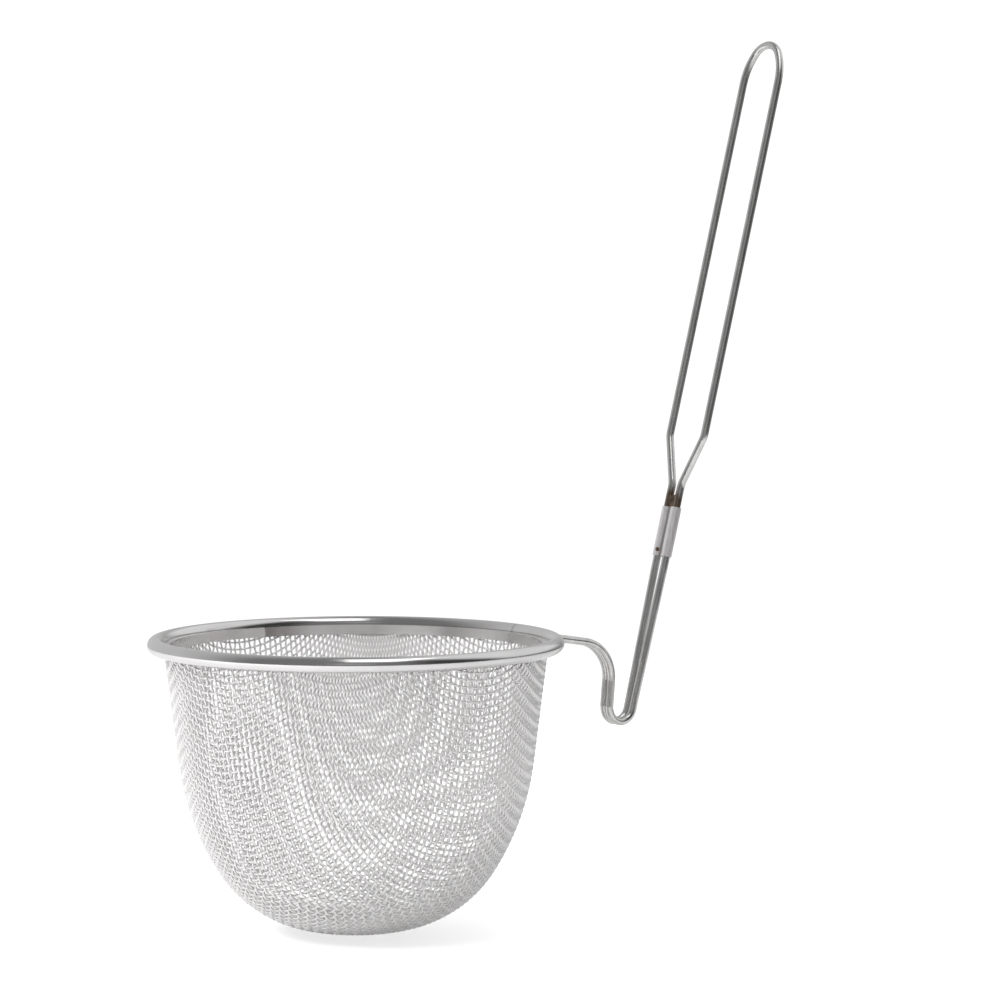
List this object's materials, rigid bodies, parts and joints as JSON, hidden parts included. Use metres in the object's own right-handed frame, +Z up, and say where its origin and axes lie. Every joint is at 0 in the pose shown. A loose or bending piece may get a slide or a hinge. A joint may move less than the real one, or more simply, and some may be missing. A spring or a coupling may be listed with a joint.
{
  "type": "tea strainer",
  "caption": "Tea strainer: deep round-bottomed woven wire basket in a rolled rim, on a bent wire handle folded into a long narrow loop with a crimped ferrule.",
  "frame": {"origin": "middle of the mouth, on the basket axis, at the height of the centre of the rim bead", "axes": "+Z up along the basket axis, out of the mouth; +X toward the handle; +Y across the handle"},
  "size_m": [0.1511, 0.084, 0.1835],
  "materials": {
    "rim_steel": "polished",
    "cloth_steel": "bright woven wire",
    "wire_steel": "bright drawn wire",
    "ferrule_steel": "satin, crimped",
    "braze": "dark heat tint"
  },
  "bodies": {
    "root": {"rim_bead": "rim_steel", "inner_band": "rim_steel", "mesh_basket": "cloth_steel", "handle_wire": "wire_steel", "rim_weld": "braze", "ferrule": "ferrule_steel", "ferrule_weld": "braze", "neck_braze": "braze"}
  },
  "joints": []
}
